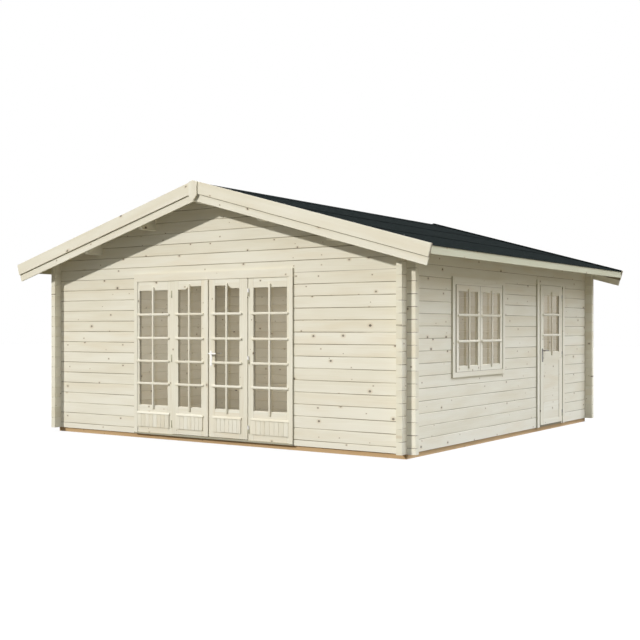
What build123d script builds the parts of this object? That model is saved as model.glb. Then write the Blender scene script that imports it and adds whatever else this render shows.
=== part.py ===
from build123d import *
from math import cos, radians, sin, tan
import os

os.makedirs("parts", exist_ok=True)

# A log cabin with a low gable roof. Millimetres, +Z up. The origin is on the ground under the
# middle of the plan, the glazed gable front faces -Y and the side with window and door faces +X.

# Logs and walls
house_width = 5400          # outer face to outer face of the side walls, along X
house_depth = 5400          # outer face to outer face of the front and back walls, along Y
log_height = 135            # one course of logs
log_thickness = 70
log_bevel = 6               # bevel on the long edges of a log, it makes the V at each joint
log_end = 105               # how far the logs run past the corner
notch_play = 0.5            # room at the cheeks of the corner notches

# Foundation and floor
base_height = 55            # impregnated beams under the walls
base_width = 60
base_inset = 20             # beams stand this far inside the outer faces
joist_width = 45
joist_count = 9
deck_thickness = 28
deck_gap = 2                # gap between the floor and the casings inside

# Roof
roof_pitch = 15.7           # degrees
wall_to_roof = 2264         # from the base beams to the roof boards, at the outer side wall faces
roof_board = 19
felt_thickness = 5
eave_overhang = 410         # roof boards past the side walls
gable_overhang = 267        # roof boards past the front and back walls
fascia_thickness = 20
fascia_height = 86
felt_drip = 8               # felt past the face of the fascia
barge_lower = 20            # thickness of the lower bargeboard
barge_upper = 18            # thickness of the upper bargeboard, nailed on the lower one
barge_height = 228          # both boards, square to the slope
barge_upper_height = 139
barge_reach = 450           # top corner of a bargeboard past the side wall
barge_top = 42              # top edge of the bargeboards above the roof underside, upright
barge_mitre = 1             # half of the gap between the two boards at the ridge
plate_width = 120           # cover plate over the mitre
plate_height = 240
plate_thickness = 18

# Purlins, as thick as the logs
purlin_places = [0, 925, 1875]      # distances from the ridge
purlin_depth = 215          # under the roof boards, at the middle of a purlin
purlin_chamfer = 45

# Doors and windows in general
casing_proud = 20           # casings stand this far off the wall, inside and outside
frame_proud = 10            # posts, jambs and sidelights stand this far off the wall outside
leaf_thickness = 44
leaf_gap = 5                # running gap round a leaf
head_drop = 45              # jamb under the head of a door opening
sill_height = 28            # underside of the leaves above the base beams
panel_recess = 9
panel_lap = 27              # the boarded panels are this much wider than the glass, each side
pane_thickness = 5
pane_rebate = 10            # a pane sits this deep in its groove
pane_play = 0.3

# Front door set
front_head_joint = 14       # joint of the front wall that is the top of the door openings
front_opening = 2424        # clear width between the cut log ends
set_x = -8                  # middle of the door set from the middle of the wall
front_lap = 28              # casing over the log ends
front_casing_width = 52
front_casing_above = 52     # head casing above the opening
mullion_width = 44          # posts between door leaves and sidelights
leaf_half = 590             # hinge edge of a leaf from the middle of the door set
meeting_gap = 8             # running gap between the two leaves
left_stile = 100            # hinge stile of the left leaf
left_meeting_stile = 115    # wider, under the cover strip
right_stile = 120
right_meeting_stile = 92
leaf_top_rail = 108
leaf_arch = 36              # rise of the glass top towards the meeting stile
arch_start = 0.50           # the S-curve starts and ends at these shares of the glass width
arch_end = 0.72
leaf_glass_bottom = 362     # above the base beams
leaf_lock_rail = 254        # top of the boarded panel
leaf_bottom_rail = 93
sidelight_stile = 34
cover_strip_width = 61
cover_strip_thickness = 14

# Window in the right wall, two sashes
window_sill_joint = 6       # joint of the side wall under the window
window_height = 1060        # between the cut logs
window_centre = 1730        # from the front wall's outer face
window_width = 1330
window_casing_lap = 45
window_casing_width = 60
window_jamb = 42
window_jamb_low = 12
window_stile = 62
window_low_rail = 68
window_top_rail = 70
sash_play = 0.3

# Side door in the right wall
side_centre = 3970          # from the front wall's outer face
side_width = 890
side_casing_lap = 45
side_casing_width = 70
side_casing_above = 20
side_jamb = 60
side_stile = 105
side_top_rail = 128
side_glass_bottom = 1005    # above the base beams
side_lock_rail = 888
side_panel_recess = 4

# Fittings
hinge_radius = 7
hinge_length = 90
hinge_play = 0.6            # between the two halves of a hinge
hinge_web = 8               # thickness of the wings, which end at the leaf and at the post
hinge_back = 8              # hinge axis in front of the posts
hinge_clear = 14            # hinge axis from the edge of the leaf
hinge_heights = (147, 957, 1745)    # middle of each hinge above the base beams
handle_plate_width = 30
handle_plate_height = 180
handle_plate_thickness = 5
handle_height = 965         # middle of the plate above the base beams
handle_backset = 34         # middle of the plate from the edge of the leaf
side_handle_backset = 58
lever_height = 1026
lever_radius = 8
lever_length = 120
lever_stand_off = 42

# Heights and faces worked out from the sizes above
half_width = house_width / 2
half_depth = house_depth / 2
inner_width = half_width - log_thickness
inner_depth = half_depth - log_thickness
slope = tan(radians(roof_pitch))
slope_cos = cos(radians(roof_pitch))
slope_sin = sin(radians(roof_pitch))
wall_low = base_height
wall_reach_x = half_width + log_end
wall_reach_y = half_depth + log_end


def roof_z(x):
    """Height of the roof underside at a distance x from the ridge."""
    return wall_low + wall_to_roof + (half_width - abs(x)) * slope


def front_joint(number):
    """Height of a joint in the front and back walls, which start with half a log."""
    return wall_low + log_height / 2 + number * log_height


def side_joint(number):
    """Height of a joint in the side walls, which start with a whole log."""
    return wall_low + number * log_height


ridge_z = roof_z(0)
corner_top = roof_z(inner_width)
front_head_z = front_joint(front_head_joint)


# Base: a ring of impregnated beams under the walls, with joists between front and back
beam_outer_x = half_width - base_inset
beam_outer_y = half_depth - base_inset
joist_span = 2 * (beam_outer_x - base_width)
joist_length = 2 * (beam_outer_y - base_width)
with BuildPart() as base_beams:
    with BuildSketch():
        Rectangle(2 * beam_outer_x, 2 * beam_outer_y)
        Rectangle(joist_span, joist_length, mode=Mode.SUBTRACT)
        with GridLocations(joist_span / (joist_count + 1), 0, joist_count, 1):
            Rectangle(joist_width, joist_length)
    extrude(amount=base_height)
base_beams.part.label = "base_beams"
export_step(base_beams.part, "parts/base_beams.step")

# Floor deck on the joists
deck_edge = casing_proud + deck_gap
with BuildPart() as floor_deck:
    with BuildSketch(Plane.XY.offset(base_height)):
        Rectangle(2 * (inner_width - deck_edge), 2 * (inner_depth - deck_edge))
    extrude(amount=deck_thickness)
floor_deck.part.label = "floor_deck"
export_step(floor_deck.part, "parts/floor_deck.step")


# Log walls. Where two walls cross, each log keeps the middle half of its height, and because the
# courses of the two walls are half a log apart these fingers fill the corner in turn.
def joints_between(first, low, high):
    """Heights of the log joints that lie clear of both ends of a stretch."""
    count = int((high - first) / log_height) + 1
    heights = [first + number * log_height for number in range(count)]
    return [z for z in heights if low + log_bevel < z < high - log_bevel]


def log_section(outer, inner, low, high_outer, high_inner, first):
    """Points round the section of a stack of logs, with a V at each joint on both faces."""
    inward = log_bevel if inner > outer else -log_bevel
    points = [(outer, low)]
    for z in joints_between(first, low, high_outer):
        points += [(outer, z - log_bevel), (outer + inward, z), (outer, z + log_bevel)]
    points += [(outer, high_outer), (inner, high_inner)]
    for z in reversed(joints_between(first, low, high_inner)):
        points += [(inner, z + log_bevel), (inner - inward, z), (inner, z - log_bevel)]
    points.append((inner, low))
    return points


def side_fingers():
    """Stretches of the corner that the side walls fill. The last one runs up to the roof where
    the next log of the front wall would leave a sliver."""
    stretches = []
    low = side_joint(0) + log_height / 4
    while low < corner_top - log_height / 4:
        high = low + log_height / 2
        if corner_top - high < log_height / 2:
            high = corner_top + log_height
        stretches.append((low, high))
        low += log_height
    return stretches


def front_fingers():
    """Stretches of the corner that the front and back walls fill, between the side walls'."""
    lows = [side_joint(-1)] + [high for low, high in side_fingers()]
    highs = [low for low, high in side_fingers()] + [corner_top + log_height]
    return [(low, high) for low, high in zip(lows, highs) if low < min(high, corner_top)]


def cut_notches(plane, centres, stretches):
    """Notches for the fingers of the crossing walls, through the wall that lies on a plane."""
    with BuildSketch(plane) as section:
        for centre in centres:
            for low, high in stretches:
                with Locations((centre, (low + high) / 2)):
                    Rectangle(log_thickness + 2 * notch_play, high - low)
    extrude(section.sketch, amount=log_thickness, both=True, mode=Mode.SUBTRACT)


def front_stack(y_sign, x_from, x_to, low, high):
    """Logs of the front or back wall, from one X to another."""
    points = log_section(
        y_sign * half_depth, y_sign * inner_depth, low, high, high, front_joint(0)
    )
    with BuildSketch(Plane.YZ.offset(x_from)) as section:
        Polygon(*points)
    extrude(section.sketch, amount=x_to - x_from)


def front_corners(y_sign, x_signs):
    """Corner notches of the front or back wall."""
    middle = half_depth - log_thickness / 2
    centres = [x_sign * (half_width - log_thickness / 2) for x_sign in x_signs]
    cut_notches(Plane.XZ.offset(-y_sign * middle), centres, side_fingers())


def side_stack(x_sign, y_from, y_to, low, high=None):
    """Logs of a side wall, from one Y to another, up to a height or else to the roof."""
    high_outer = roof_z(half_width) if high is None else high
    high_inner = roof_z(inner_width) if high is None else high
    points = log_section(
        x_sign * half_width, x_sign * inner_width, low, high_outer, high_inner, side_joint(0)
    )
    with BuildSketch(Plane.XZ.offset(-y_to)) as section:
        Polygon(*points)
    extrude(section.sketch, amount=y_to - y_from)


def side_corners(x_sign, y_signs):
    """Corner notches of a side wall."""
    middle = half_width - log_thickness / 2
    centres = [y_sign * (half_depth - log_thickness / 2) for y_sign in y_signs]
    cut_notches(Plane.YZ.offset(x_sign * middle), centres, front_fingers())


def purlin_section(place):
    """Section of a purlin at a distance from the ridge: flat below, cut to the roof above."""
    low = roof_z(place) - purlin_depth
    left = place - log_thickness / 2
    right = place + log_thickness / 2
    points = [(left, low), (right, low), (right, roof_z(right))]
    if left < 0 < right:
        points.append((0, ridge_z))
    points.append((left, roof_z(left)))
    return points


purlin_list = sorted({sign * place for place in purlin_places for sign in (-1, 1)})


def cut_gable(y_sign):
    """Cuts a gable to the roof slopes and gives it a seat for each purlin."""
    reach = wall_reach_x + log_height
    middle = Plane.XZ.offset(-y_sign * (half_depth - log_thickness / 2))
    with BuildSketch(middle) as under_roof:
        Polygon((-reach, 0), (reach, 0), (reach, roof_z(reach)), (0, ridge_z),
                (-reach, roof_z(reach)))
        for place in purlin_list:
            Polygon(*purlin_section(place), mode=Mode.SUBTRACT)
    extrude(under_roof.sketch, amount=log_thickness, both=True, mode=Mode.INTERSECT)


# Front wall: logs on both sides of the door set, and the gable over it
front_half = front_opening / 2
with BuildPart() as front_wall_left:
    front_stack(-1, -wall_reach_x, set_x - front_half, wall_low, front_head_z)
    front_corners(-1, [-1])
front_wall_left.part.label = "front_wall_left"
export_step(front_wall_left.part, "parts/front_wall_left.step")

with BuildPart() as front_wall_right:
    front_stack(-1, set_x + front_half, wall_reach_x, wall_low, front_head_z)
    front_corners(-1, [1])
front_wall_right.part.label = "front_wall_right"
export_step(front_wall_right.part, "parts/front_wall_right.step")

with BuildPart() as front_gable:
    front_stack(-1, -wall_reach_x, wall_reach_x, front_head_z, ridge_z)
    cut_gable(-1)
    front_corners(-1, [-1, 1])
front_gable.part.label = "front_gable"
export_step(front_gable.part, "parts/front_gable.step")

# Back wall: plain logs from the base to the ridge
with BuildPart() as back_wall:
    front_stack(1, -wall_reach_x, wall_reach_x, wall_low, ridge_z)
    cut_gable(1)
    front_corners(1, [-1, 1])
back_wall.part.label = "back_wall"
export_step(back_wall.part, "parts/back_wall.step")

# Left wall: plain logs
with BuildPart() as left_wall:
    side_stack(-1, -wall_reach_y, wall_reach_y, wall_low)
    side_corners(-1, [-1, 1])
left_wall.part.label = "left_wall"
export_step(left_wall.part, "parts/left_wall.step")

# Right wall: logs beside, under and over the window and the side door
window_low = side_joint(window_sill_joint)
window_high = window_low + window_height
window_mid = window_centre - half_depth
window_y1 = window_mid - window_width / 2
window_y2 = window_mid + window_width / 2
side_mid = side_centre - half_depth
side_y1 = side_mid - side_width / 2
side_y2 = side_mid + side_width / 2
top_low = side_joint(front_head_joint + 1)
with BuildPart() as right_wall_front:
    side_stack(1, -wall_reach_y, window_y1, wall_low, top_low)
    side_corners(1, [-1])
right_wall_front.part.label = "right_wall_front"
export_step(right_wall_front.part, "parts/right_wall_front.step")

with BuildPart() as right_wall_under_window:
    side_stack(1, window_y1, window_y2, wall_low, window_low)
right_wall_under_window.part.label = "right_wall_under_window"
export_step(right_wall_under_window.part, "parts/right_wall_under_window.step")

with BuildPart() as right_wall_over_window:
    side_stack(1, window_y1, window_y2, window_high, top_low)
right_wall_over_window.part.label = "right_wall_over_window"
export_step(right_wall_over_window.part, "parts/right_wall_over_window.step")

with BuildPart() as right_wall_middle:
    side_stack(1, window_y2, side_y1, wall_low, top_low)
right_wall_middle.part.label = "right_wall_middle"
export_step(right_wall_middle.part, "parts/right_wall_middle.step")

with BuildPart() as right_wall_over_door:
    side_stack(1, side_y1, side_y2, front_head_z, top_low)
right_wall_over_door.part.label = "right_wall_over_door"
export_step(right_wall_over_door.part, "parts/right_wall_over_door.step")

with BuildPart() as right_wall_rear:
    side_stack(1, side_y2, wall_reach_y, wall_low, top_low)
    side_corners(1, [1])
right_wall_rear.part.label = "right_wall_rear"
export_step(right_wall_rear.part, "parts/right_wall_rear.step")

with BuildPart() as right_wall_top:
    side_stack(1, -wall_reach_y, wall_reach_y, top_low)
    side_corners(1, [-1, 1])
right_wall_top.part.label = "right_wall_top"
export_step(right_wall_top.part, "parts/right_wall_top.step")

# Purlins: they lie in the gables, carry the roof boards and end behind the bargeboards
roof_end_y = half_depth + gable_overhang
roof_end = Plane.XZ.offset(-roof_end_y)
with BuildPart() as purlins:
    with BuildSketch(roof_end):
        for place in purlin_list:
            Polygon(*purlin_section(place))
    extrude(amount=2 * roof_end_y)
    end_edges = purlins.edges().filter_by(Axis.X)
    low_ends = [
        end_edges.sort_by_distance((place, y, roof_z(place) - purlin_depth))[0]
        for place in purlin_list for y in (-roof_end_y, roof_end_y)
    ]
    chamfer(low_ends, purlin_chamfer)
purlins.part.label = "purlins"
export_step(purlins.part, "parts/purlins.step")

# Roof boards: one sheet of boards on each slope, meeting over the ridge purlin
board_rise = roof_board / slope_cos
felt_rise = felt_thickness / slope_cos
board_end_x = half_width + eave_overhang
fascia_end_x = board_end_x + fascia_thickness
felt_end_x = fascia_end_x + felt_drip


def slope_layer(x_sign, low, high, x_end):
    """A layer of one roof slope, between two heights above the roof underside, upright."""
    with BuildSketch(roof_end) as section:
        Polygon(
            (0, ridge_z + low),
            (x_sign * x_end, roof_z(x_end) + low),
            (x_sign * x_end, roof_z(x_end) + high),
            (0, ridge_z + high),
        )
    extrude(section.sketch, amount=2 * roof_end_y)


with BuildPart() as roof_boards_left:
    slope_layer(-1, 0, board_rise, board_end_x)
roof_boards_left.part.label = "roof_boards_left"
export_step(roof_boards_left.part, "parts/roof_boards_left.step")

with BuildPart() as roof_boards_right:
    slope_layer(1, 0, board_rise, board_end_x)
roof_boards_right.part.label = "roof_boards_right"
export_step(roof_boards_right.part, "parts/roof_boards_right.step")

# Roofing felt on the boards, with a drip edge over the fascia
with BuildPart() as roof_felt_left:
    slope_layer(-1, board_rise, board_rise + felt_rise, felt_end_x)
roof_felt_left.part.label = "roof_felt_left"
export_step(roof_felt_left.part, "parts/roof_felt_left.step")

with BuildPart() as roof_felt_right:
    slope_layer(1, board_rise, board_rise + felt_rise, felt_end_x)
roof_felt_right.part.label = "roof_felt_right"
export_step(roof_felt_right.part, "parts/roof_felt_right.step")

# Fascias along both eaves, on the ends of the roof boards
fascia_top = roof_z(fascia_end_x) + board_rise
with BuildPart() as fascias:
    with BuildSketch(roof_end):
        for x_sign in (-1, 1):
            Polygon(
                (x_sign * board_end_x, fascia_top - fascia_height),
                (x_sign * fascia_end_x, fascia_top - fascia_height),
                (x_sign * fascia_end_x, fascia_top),
                (x_sign * board_end_x, roof_z(board_end_x) + board_rise),
            )
    extrude(amount=2 * roof_end_y)
fascias.part.label = "fascias"
export_step(fascias.part, "parts/fascias.step")


# Bargeboards: a lower board and a narrower upper board nailed on it, mitred under a cover plate
def barge_face(x_sign, height):
    """Outline of a bargeboard seen from the front, cut square at the eave."""
    top_x = half_width + barge_reach
    top_z = roof_z(top_x) + barge_top
    mitre_z = roof_z(barge_mitre) + barge_top
    Polygon(
        (x_sign * barge_mitre, mitre_z),
        (x_sign * top_x, top_z),
        (x_sign * (top_x - height * slope_sin), top_z - height * slope_cos),
        (x_sign * barge_mitre, mitre_z - height / slope_cos),
    )


def bargeboards(y_sign):
    """Both boards on both slopes, at the front or at the back."""
    for y, height, thickness in (
        (roof_end_y, barge_height, barge_lower),
        (roof_end_y + barge_lower, barge_upper_height, barge_upper),
    ):
        with BuildSketch(Plane.XZ.offset(-y_sign * y)) as section:
            barge_face(-1, height)
            barge_face(1, height)
        extrude(section.sketch, amount=-y_sign * thickness)


with BuildPart() as bargeboards_front:
    bargeboards(-1)
bargeboards_front.part.label = "bargeboards_front"
export_step(bargeboards_front.part, "parts/bargeboards_front.step")

with BuildPart() as bargeboards_back:
    bargeboards(1)
bargeboards_back.part.label = "bargeboards_back"
export_step(bargeboards_back.part, "parts/bargeboards_back.step")

# Cover plates over the mitres of the bargeboards, pointed below
barge_face_y = roof_end_y + barge_lower + barge_upper
plate_half = plate_width / 2
plate_top = ridge_z + barge_top
with BuildPart() as apex_plates:
    for y_sign in (-1, 1):
        with BuildSketch(Plane.XZ.offset(-y_sign * barge_face_y)):
            Polygon(
                (0, plate_top),
                (plate_half, plate_top - plate_half * slope),
                (plate_half, plate_top - plate_height + plate_half),
                (0, plate_top - plate_height),
                (-plate_half, plate_top - plate_height + plate_half),
                (-plate_half, plate_top - plate_half * slope),
            )
        extrude(amount=-y_sign * plate_thickness)
apex_plates.part.label = "apex_plates"
export_step(apex_plates.part, "parts/apex_plates.step")

# Front door set: posts from the base beams to the head, with casings over the log ends
casing_y = -half_depth - casing_proud
frame_y = -half_depth - frame_proud
frame_back_y = -inner_depth + casing_proud
door_low = wall_low + sill_height
head_low = front_head_z - head_drop
post_inner = leaf_half + leaf_gap
post_outer = post_inner + mullion_width
casing_reach = front_half + front_lap
jamb_inner = casing_reach - front_casing_width


def plan_box(x1, x2, y1, y2):
    """Rectangle in plan between two X and two Y."""
    with Locations(((x1 + x2) / 2, (y1 + y2) / 2)):
        Rectangle(abs(x2 - x1), abs(y2 - y1))


with BuildPart() as front_door_posts:
    with BuildSketch(Plane.XY.offset(wall_low)):
        for x_sign in (-1, 1):
            post_x = [set_x + x_sign * x for x in (post_inner, post_outer)]
            jamb_x = [set_x + x_sign * x for x in (jamb_inner, front_half)]
            lap_x = [set_x + x_sign * x for x in (front_half, casing_reach)]
            plan_box(*post_x, frame_y, frame_back_y)
            plan_box(*jamb_x, casing_y, frame_back_y)
            plan_box(*lap_x, casing_y, -half_depth)
            plan_box(*lap_x, -inner_depth, frame_back_y)
    extrude(amount=head_low - wall_low)
front_door_posts.part.label = "front_door_posts"
export_step(front_door_posts.part, "parts/front_door_posts.step")


# Head of the door set: a jamb in the opening between two casings
def upright_box(y1, y2, z1, z2):
    """Rectangle seen from the right, between two Y and two Z."""
    with Locations(((y1 + y2) / 2, (z1 + z2) / 2)):
        Rectangle(y2 - y1, z2 - z1)


front_casing_top = front_head_z + front_casing_above
with BuildPart() as front_door_head:
    with BuildSketch(Plane.YZ.offset(set_x - front_half)):
        upright_box(frame_y, frame_back_y, head_low, front_head_z)
    extrude(amount=front_opening)
    with BuildSketch(Plane.YZ.offset(set_x - casing_reach)):
        upright_box(casing_y, -half_depth, head_low, front_casing_top)
        upright_box(-inner_depth, frame_back_y, head_low, front_casing_top)
    extrude(amount=2 * casing_reach)
front_door_head.part.label = "front_door_head"
export_step(front_door_head.part, "parts/front_door_head.step")

# Sill between the two door posts, set back under the leaves
sill_top = door_low - leaf_gap
with BuildPart() as front_door_sill:
    with BuildSketch(Plane.XY.offset(wall_low)):
        plan_box(set_x - post_inner, set_x + post_inner, -half_depth, frame_back_y)
    extrude(amount=sill_top - wall_low)
front_door_sill.part.label = "front_door_sill"
export_step(front_door_sill.part, "parts/front_door_sill.step")


# Door leaves and sidelights: a frame of stiles and rails, a boarded panel below and a pane above
def front_outline(x_hinge, x_meet, low, high, rise, grow=0):
    """Sight opening of a leaf. Its top rises in an S-curve towards the meeting stile. It can be
    grown by the depth of the groove that holds the pane."""
    toward = 1 if x_meet > x_hinge else -1
    width = x_meet - x_hinge
    left = x_hinge - toward * grow
    right = x_meet + toward * grow
    top = high + grow
    with BuildLine() as outline:
        if rise > 0:
            curve_low = (x_hinge + width * (1 - arch_end), top)
            curve_high = (x_hinge + width * (1 - arch_start), top + rise)
            Line((left, top), curve_low)
            Spline(curve_low, curve_high, tangents=[(toward, 0), (toward, 0)])
            Line(curve_high, (right, top + rise))
        else:
            Line((left, top), (right, top))
        Polyline((right, top + rise), (right, low - grow), (left, low - grow), (left, top))
    make_face(outline.edges())


def sight_span(x_hinge, x_meet, stile_hinge, stile_meet):
    """The X of the sight opening at the hinge side and at the meeting side."""
    toward = 1 if x_meet > x_hinge else -1
    return x_hinge + toward * stile_hinge, x_meet - toward * stile_meet


def front_leaf(x_hinge, x_meet, face_y, low, high, stiles, rise):
    """A leaf or sidelight between two X, with its front on a face."""
    back_y = face_y + leaf_thickness
    middle_y = face_y + leaf_thickness / 2
    x1, x2 = sight_span(x_hinge, x_meet, *stiles)
    glass_low = wall_low + leaf_glass_bottom
    glass_high = head_low - leaf_gap - leaf_top_rail
    with BuildSketch(Plane.XZ.offset(-back_y)) as section:
        with Locations(((x_hinge + x_meet) / 2, (low + high) / 2)):
            Rectangle(abs(x_meet - x_hinge), high - low)
    extrude(section.sketch, amount=leaf_thickness)
    with BuildSketch(Plane.XZ.offset(-back_y)) as section:
        front_outline(x1, x2, glass_low, glass_high, rise)
    extrude(section.sketch, amount=leaf_thickness, mode=Mode.SUBTRACT)
    with BuildSketch(Plane.XZ.offset(-middle_y - pane_thickness / 2)) as section:
        front_outline(x1, x2, glass_low, glass_high, rise, pane_rebate)
    extrude(section.sketch, amount=pane_thickness, mode=Mode.SUBTRACT)
    panel_middle = wall_low + (leaf_bottom_rail + leaf_lock_rail) / 2
    for plane_y, into in ((face_y, 1), (back_y, -1)):
        with BuildSketch(Plane.XZ.offset(-plane_y)) as section:
            with Locations(((x1 + x2) / 2, panel_middle)):
                Rectangle(abs(x2 - x1) + 2 * panel_lap, leaf_lock_rail - leaf_bottom_rail)
        extrude(section.sketch, amount=-into * panel_recess, mode=Mode.SUBTRACT)


def front_pane(x_hinge, x_meet, face_y, stiles, rise):
    """The pane of a leaf or sidelight, in its groove."""
    x1, x2 = sight_span(x_hinge, x_meet, *stiles)
    glass_low = wall_low + leaf_glass_bottom
    glass_high = head_low - leaf_gap - leaf_top_rail
    pane = pane_thickness - 2 * pane_play
    middle_y = face_y + leaf_thickness / 2
    with BuildSketch(Plane.XZ.offset(-middle_y - pane / 2)) as section:
        front_outline(x1, x2, glass_low, glass_high, rise, pane_rebate - pane_play)
    extrude(section.sketch, amount=pane)


leaf_top = head_low - leaf_gap
leaf_meet = meeting_gap / 2
left_stiles = (left_stile, left_meeting_stile)
left_hinge_x = set_x - leaf_half
left_meet_x = set_x - leaf_meet
with BuildPart() as front_door_left:
    front_leaf(left_hinge_x, left_meet_x, casing_y, door_low, leaf_top, left_stiles, leaf_arch)
    with BuildSketch(Plane.XY.offset(door_low)):
        strip_x = left_meet_x - cover_strip_width
        plan_box(strip_x, left_meet_x, casing_y - cover_strip_thickness, casing_y)
    extrude(amount=leaf_top - door_low)
front_door_left.part.label = "front_door_left"
export_step(front_door_left.part, "parts/front_door_left.step")

right_stiles = (right_stile, right_meeting_stile)
right_hinge_x = set_x + leaf_half
right_meet_x = set_x + leaf_meet
with BuildPart() as front_door_right:
    front_leaf(right_hinge_x, right_meet_x, casing_y, door_low, leaf_top, right_stiles, leaf_arch)
front_door_right.part.label = "front_door_right"
export_step(front_door_right.part, "parts/front_door_right.step")

with BuildPart() as front_door_left_glass:
    front_pane(left_hinge_x, left_meet_x, casing_y, left_stiles, leaf_arch)
front_door_left_glass.part.label = "front_door_left_glass"
export_step(front_door_left_glass.part, "parts/front_door_left_glass.step")

with BuildPart() as front_door_right_glass:
    front_pane(right_hinge_x, right_meet_x, casing_y, right_stiles, leaf_arch)
front_door_right_glass.part.label = "front_door_right_glass"
export_step(front_door_right_glass.part, "parts/front_door_right_glass.step")

# Sidelights between post and jamb, from the base beams to the head
sidelight_stiles = (sidelight_stile, sidelight_stile)
left_light_x = (set_x - jamb_inner, set_x - post_outer)
right_light_x = (set_x + jamb_inner, set_x + post_outer)
with BuildPart() as sidelight_left:
    front_leaf(*left_light_x, frame_y, wall_low, head_low, sidelight_stiles, 0)
sidelight_left.part.label = "sidelight_left"
export_step(sidelight_left.part, "parts/sidelight_left.step")

with BuildPart() as sidelight_right:
    front_leaf(*right_light_x, frame_y, wall_low, head_low, sidelight_stiles, 0)
sidelight_right.part.label = "sidelight_right"
export_step(sidelight_right.part, "parts/sidelight_right.step")

with BuildPart() as sidelight_glass:
    front_pane(*left_light_x, frame_y, sidelight_stiles, 0)
    front_pane(*right_light_x, frame_y, sidelight_stiles, 0)
sidelight_glass.part.label = "sidelight_glass"
export_step(sidelight_glass.part, "parts/sidelight_glass.step")

# Window: a frame in the logs with casings on both faces
frame_back_x = inner_width - casing_proud
frame_x = half_width + frame_proud
casing_x = half_width + casing_proud
jamb_y1 = window_y1 + window_jamb
jamb_y2 = window_y2 - window_jamb
sash_low = window_low + window_jamb_low
sash_high = window_high - window_jamb
casing_shift = window_casing_width - window_casing_lap
with BuildPart() as window_frame:
    with BuildSketch(Plane.YZ.offset(frame_back_x)):
        upright_box(window_y1, window_y2, window_low, window_high)
        with Locations((window_mid, (sash_low + sash_high) / 2)):
            Rectangle(jamb_y2 - jamb_y1, sash_high - sash_low, mode=Mode.SUBTRACT)
    extrude(amount=frame_x - frame_back_x)
    for x in (frame_back_x, half_width):
        with BuildSketch(Plane.YZ.offset(x)):
            upright_box(
                window_y1 - window_casing_lap, window_y2 + window_casing_lap,
                window_low - window_casing_lap, window_high + window_casing_lap,
            )
            with Locations((window_mid, (window_low + window_high) / 2)):
                Rectangle(
                    window_width - 2 * casing_shift,
                    window_height - 2 * min(casing_shift, window_jamb_low),
                    mode=Mode.SUBTRACT,
                )
        extrude(amount=casing_proud)
window_frame.part.label = "window_frame"
export_step(window_frame.part, "parts/window_frame.step")

# The two sashes and their panes
sash_back_x = casing_x - leaf_thickness
pane_x = casing_x - (leaf_thickness + pane_thickness) / 2
sash_spans = (
    (jamb_y1 + sash_play, window_mid - sash_play),
    (window_mid + sash_play, jamb_y2 - sash_play),
)
sash_glass_low = sash_low + window_low_rail
sash_glass_high = sash_high - window_top_rail
with BuildPart() as window_sashes:
    with BuildSketch(Plane.YZ.offset(sash_back_x)):
        for y1, y2 in sash_spans:
            upright_box(y1, y2, sash_low + sash_play, sash_high - sash_play)
    extrude(amount=leaf_thickness)
    with BuildSketch(Plane.YZ.offset(sash_back_x)):
        for y1, y2 in sash_spans:
            upright_box(y1 + window_stile, y2 - window_stile, sash_glass_low, sash_glass_high)
    extrude(amount=leaf_thickness, mode=Mode.SUBTRACT)
    with BuildSketch(Plane.YZ.offset(pane_x)):
        for y1, y2 in sash_spans:
            upright_box(
                y1 + window_stile - pane_rebate, y2 - window_stile + pane_rebate,
                sash_glass_low - pane_rebate, sash_glass_high + pane_rebate,
            )
    extrude(amount=pane_thickness, mode=Mode.SUBTRACT)
window_sashes.part.label = "window_sashes"
export_step(window_sashes.part, "parts/window_sashes.step")

pane_seat = pane_rebate - pane_play
with BuildPart() as window_glass:
    with BuildSketch(Plane.YZ.offset(pane_x + pane_play)):
        for y1, y2 in sash_spans:
            upright_box(
                y1 + window_stile - pane_seat, y2 - window_stile + pane_seat,
                sash_glass_low - pane_seat, sash_glass_high + pane_seat,
            )
    extrude(amount=pane_thickness - 2 * pane_play)
window_glass.part.label = "window_glass"
export_step(window_glass.part, "parts/window_glass.step")

# Side door: posts with casings over the log ends
side_jamb_y1 = side_y1 + side_jamb
side_jamb_y2 = side_y2 - side_jamb
side_reach = side_width / 2 + side_casing_lap
side_casing_inner = side_reach - side_casing_width
with BuildPart() as side_door_posts:
    with BuildSketch(Plane.XY.offset(wall_low)):
        plan_box(frame_back_x, frame_x, side_y1, side_jamb_y1)
        plan_box(frame_back_x, frame_x, side_jamb_y2, side_y2)
        for x1, x2 in ((frame_back_x, inner_width), (half_width, casing_x)):
            plan_box(x1, x2, side_mid - side_reach, side_mid - side_casing_inner)
            plan_box(x1, x2, side_mid + side_casing_inner, side_mid + side_reach)
    extrude(amount=head_low - wall_low)
side_door_posts.part.label = "side_door_posts"
export_step(side_door_posts.part, "parts/side_door_posts.step")

# Head of the side door
side_casing_top = front_head_z + side_casing_above
with BuildPart() as side_door_head:
    with BuildSketch(Plane.YZ.offset(frame_back_x)):
        upright_box(side_y1, side_y2, head_low, front_head_z)
    extrude(amount=frame_x - frame_back_x)
    for x in (frame_back_x, half_width):
        with BuildSketch(Plane.YZ.offset(x)):
            upright_box(side_mid - side_reach, side_mid + side_reach, head_low, side_casing_top)
        extrude(amount=casing_proud)
side_door_head.part.label = "side_door_head"
export_step(side_door_head.part, "parts/side_door_head.step")

# Sill of the side door
with BuildPart() as side_door_sill:
    with BuildSketch(Plane.XY.offset(wall_low)):
        plan_box(frame_back_x, half_width, side_jamb_y1, side_jamb_y2)
    extrude(amount=sill_top - wall_low)
side_door_sill.part.label = "side_door_sill"
export_step(side_door_sill.part, "parts/side_door_sill.step")

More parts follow.
